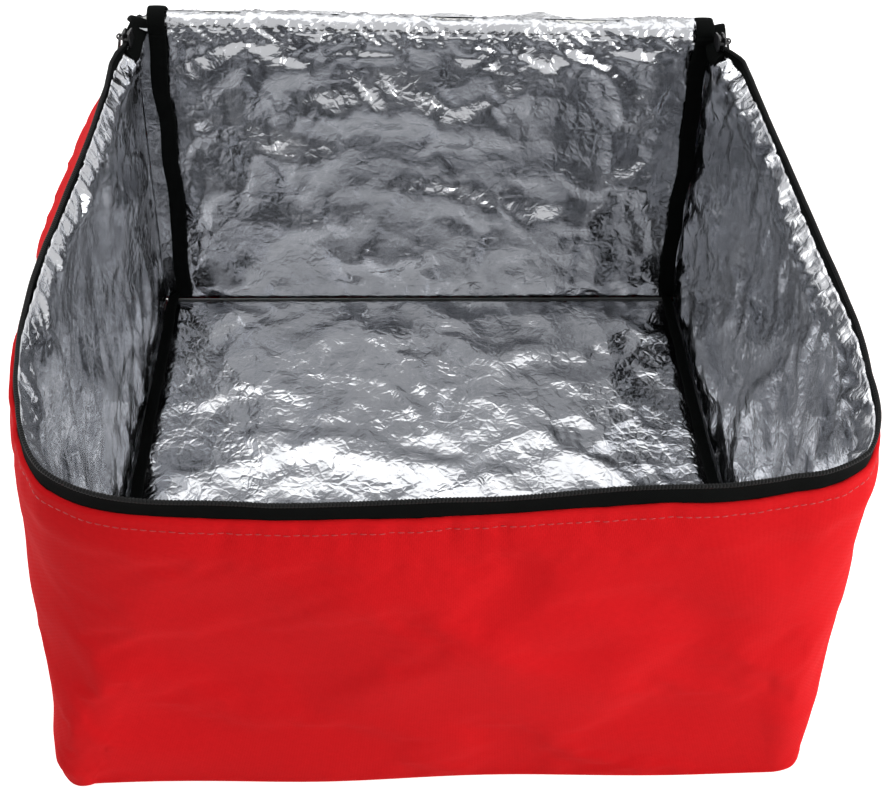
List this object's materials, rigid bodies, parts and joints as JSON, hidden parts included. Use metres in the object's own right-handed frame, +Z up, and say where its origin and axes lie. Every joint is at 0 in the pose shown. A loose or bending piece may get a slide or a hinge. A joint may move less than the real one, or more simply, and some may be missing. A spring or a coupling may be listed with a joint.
{
  "type": "insulated carrier bag",
  "caption": "Square soft insulated carrier bag with a foil lining, side webbing loops and a zip-round lid thrown open behind it.",
  "frame": {"origin": "middle of the base's underside, on the floor", "axes": "+Z up; +Y to the back, where the lid is hinged and lies thrown back; +X to the right as seen from the front"},
  "size_m": [0.4794, 0.7218, 0.248],
  "materials": {
    "red_skin": "matte plain-weave polyester",
    "foil_lining": "crinkled bright foil film",
    "white_foam": "closed-cell foam",
    "grey_board": "matte",
    "black_tape": "matte woven nylon",
    "black_metal": "satin"
  },
  "bodies": {
    "bag": {"outer_wall_wrap": "red_skin", "outer_back_panel": "red_skin", "outer_base_panel": "red_skin", "foam_left": "white_foam", "foam_front": "white_foam", "foam_right": "white_foam", "foam_back": "white_foam", "foam_base": "white_foam", "base_board": "grey_board", "lining_wall_wrap": "foil_lining", "lining_back": "foil_lining", "lining_base": "foil_lining", "seam_binding": "black_tape", "body_zip_tape": "black_tape", "body_zip_coil": "black_tape", "hinge_fold": "foil_lining", "left_zip_stop": "black_metal", "right_zip_stop": "black_metal", "left_zip_end": "black_tape", "right_zip_end": "black_tape", "left_handle_front_patch": "black_tape", "left_handle_rear_patch": "black_tape", "right_handle_front_patch": "black_tape", "right_handle_rear_patch": "black_tape"},
    "lid": {"lid_outer_panel": "red_skin", "lid_foam": "white_foam", "lid_lining": "foil_lining", "lid_zip_tape": "black_tape", "lid_zip_coil": "black_tape"},
    "left_slider": {"left_slider_body": "black_metal"},
    "right_slider": {"right_slider_body": "black_metal"},
    "left_pull": {"left_slider_pull": "black_metal"},
    "right_pull": {"right_slider_pull": "black_metal"},
    "left_handle": {"left_handle_loop": "black_tape"},
    "right_handle": {"right_handle_loop": "black_tape"}
  },
  "joints": [
    {"name": "lid_hinge", "type": "hinge", "parent": "bag", "child": "lid", "pos_m": [0, 0.1966, 0.243], "axis": [1, 0, 0], "range_deg": [0, 217.9]},
    {"name": "left_slider_slide", "type": "slide", "parent": "bag", "child": "left_slider", "axis": [-0.0501, -0.9987, 0], "range_m": [0, 0.258]},
    {"name": "right_slider_slide", "type": "slide", "parent": "bag", "child": "right_slider", "axis": [0.0501, -0.9987, 0], "range_m": [0, 0.258]},
    {"name": "left_pull_swing", "type": "hinge", "parent": "left_slider", "child": "left_pull", "pos_m": [-0.19158, 0.18125, 0.2328], "axis": [0.0501, 0.9987, 0], "range_deg": [0, 150]},
    {"name": "right_pull_swing", "type": "hinge", "parent": "right_slider", "child": "right_pull", "pos_m": [0.19158, 0.18125, 0.2328], "axis": [0.0501, -0.9987, 0], "range_deg": [0, 150]},
    {"name": "left_handle_swing", "type": "hinge", "parent": "bag", "child": "left_handle", "pos_m": [-0.20971, 0.01009, 0.15], "axis": [-0.0011, 1, 0], "range_deg": [0, 160]},
    {"name": "right_handle_swing", "type": "hinge", "parent": "bag", "child": "right_handle", "pos_m": [0.20971, 0.01009, 0.15], "axis": [-0.0011, -1, 0], "range_deg": [0, 160]}
  ]
}
